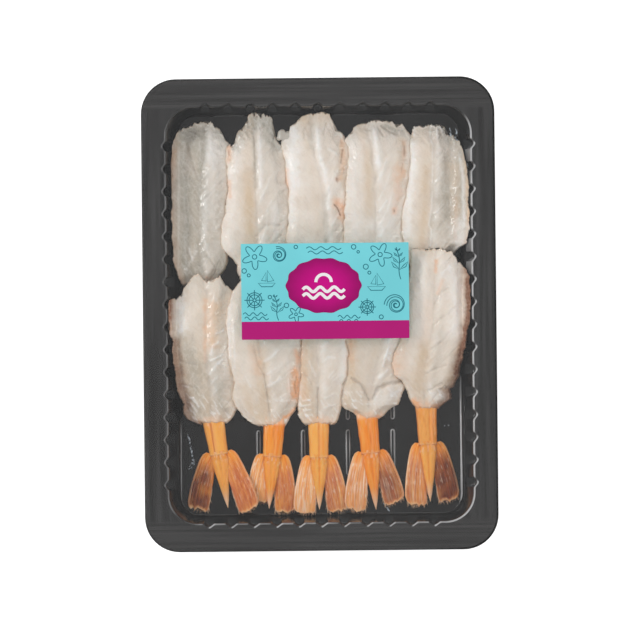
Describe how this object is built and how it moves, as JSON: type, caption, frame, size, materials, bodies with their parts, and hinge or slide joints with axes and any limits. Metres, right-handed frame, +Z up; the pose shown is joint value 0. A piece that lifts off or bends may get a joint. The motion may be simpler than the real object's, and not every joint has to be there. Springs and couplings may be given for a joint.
{
  "type": "sealed tray of butterflied sushi shrimp",
  "caption": "Shallow black food tray with a fluted well, holding two overlapping rows of raw butterflied shrimp with their tails on, sealed with clear film that carries a label.",
  "frame": {"origin": "middle of the tray's foot, on the surface it stands on", "axes": "+Y along the tray's length from the front row to the back row, +X to the right, +Z up out of the tray"},
  "size_m": [0.142, 0.19, 0.0166],
  "materials": {
    "tray": "satin black thermoformed sheet, finely knurled along the seal",
    "film": "clear glossy lid film",
    "label": "semi-gloss printed sticker in teal and magenta",
    "flesh": "raw translucent shrimp flesh, moist",
    "shell": "orange cooked-looking tail shell, glossy and ribbed"
  },
  "bodies": {
    "root": {"tray": "tray", "lid_film": "film", "label": "label", "shrimp_back_1": "flesh", "shrimp_back_2": "flesh", "shrimp_back_3": "flesh", "shrimp_back_4": "flesh", "shrimp_back_5": "flesh", "shrimp_front_1": "flesh", "shrimp_front_2": "flesh", "shrimp_front_3": "flesh", "shrimp_front_4": "flesh", "shrimp_front_5": "flesh"}
  },
  "joints": []
}
